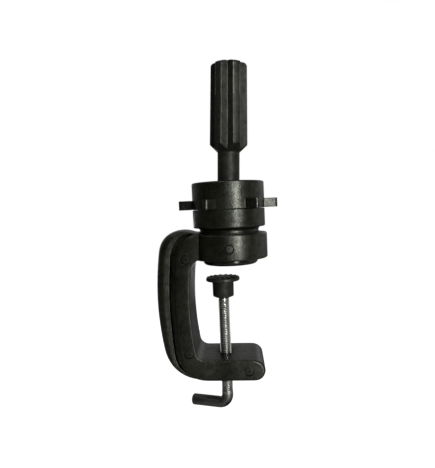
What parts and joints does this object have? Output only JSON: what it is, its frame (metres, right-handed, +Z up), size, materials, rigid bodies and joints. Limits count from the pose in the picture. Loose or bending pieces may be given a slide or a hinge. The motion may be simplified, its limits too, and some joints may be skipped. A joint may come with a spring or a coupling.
{
  "type": "table clamp holder for a training head",
  "caption": "C-clamp for a table edge with a fluted spigot on a lockable ball joint, a lugged lock nut and a threaded rod with a bent handle; holds a training or wig head.",
  "frame": {"origin": "centre of the jaw disc's lower face, which sits on the table top, on the swivel axis", "axes": "+Z up along the swivel axis, +X out of the clamp's mouth, -Y the face with the frame screws"},
  "size_m": [0.0853, 0.0622, 0.2394],
  "materials": {
    "black_plastic": "satin black moulded plastic with a fine grain",
    "jaw_plastic": "smooth black plastic, glossier than the frame",
    "washer_plastic": "dull black plastic washer",
    "nylon": "natural nylon, inside the joint",
    "dark_steel": "blackened steel screws",
    "zinc_steel": "bright zinc plating"
  },
  "bodies": {
    "frame": {"frame_front_half": "black_plastic", "frame_back_half": "black_plastic", "frame_screws": "dark_steel", "retaining_screw": "black_plastic", "jaw_pad": "jaw_plastic", "swivel_washer": "washer_plastic", "arm_nut": "zinc_steel"},
    "turret": {"swivel_socket": "black_plastic", "ball_seat": "nylon", "seat_spring": "zinc_steel"},
    "post": {"spigot_post": "black_plastic", "ball": "nylon", "ball_screw": "zinc_steel"},
    "press": {"pressure_ring": "nylon"},
    "lock_nut": {"lock_nut": "black_plastic"},
    "pad": {"screw_pad": "black_plastic", "pad_clip": "zinc_steel"},
    "clamp_screw": {"clamp_screw": "zinc_steel"}
  },
  "joints": [
    {"name": "post_swivel", "type": "hinge", "parent": "frame", "child": "turret", "pos_m": [0, 0, 0.022], "axis": [0, 0, 1], "continuous": true},
    {"name": "post_tilt", "type": "hinge", "parent": "turret", "child": "post", "pos_m": [0, 0, 0.038], "axis": [0, 1, 0], "range_deg": [-22.5, 17.5]},
    {"name": "nut_lift", "type": "slide", "parent": "turret", "child": "press", "axis": [0, 0, 1], "range_m": [0, 0.00101]},
    {"name": "nut_turn", "type": "hinge", "parent": "press", "child": "lock_nut", "pos_m": [0, 0, 0.047], "axis": [0, 0, 1], "range_deg": [0, 120]},
    {"name": "pad_travel", "type": "slide", "parent": "frame", "child": "pad", "axis": [0, 0, 1], "range_m": [-0.03776, 0.00871]},
    {"name": "screw_turn", "type": "hinge", "parent": "pad", "child": "clamp_screw", "pos_m": [-0.006, 0, -0.07], "axis": [0, 0, 1], "range_deg": [-10872, 2505.6]}
  ],
  "couplings": [
    {"joint": "nut_lift", "follows": "nut_turn", "m_per_rad": 0.00047746},
    {"joint": "pad_travel", "follows": "screw_turn", "m_per_rad": 0.00019894}
  ]
}
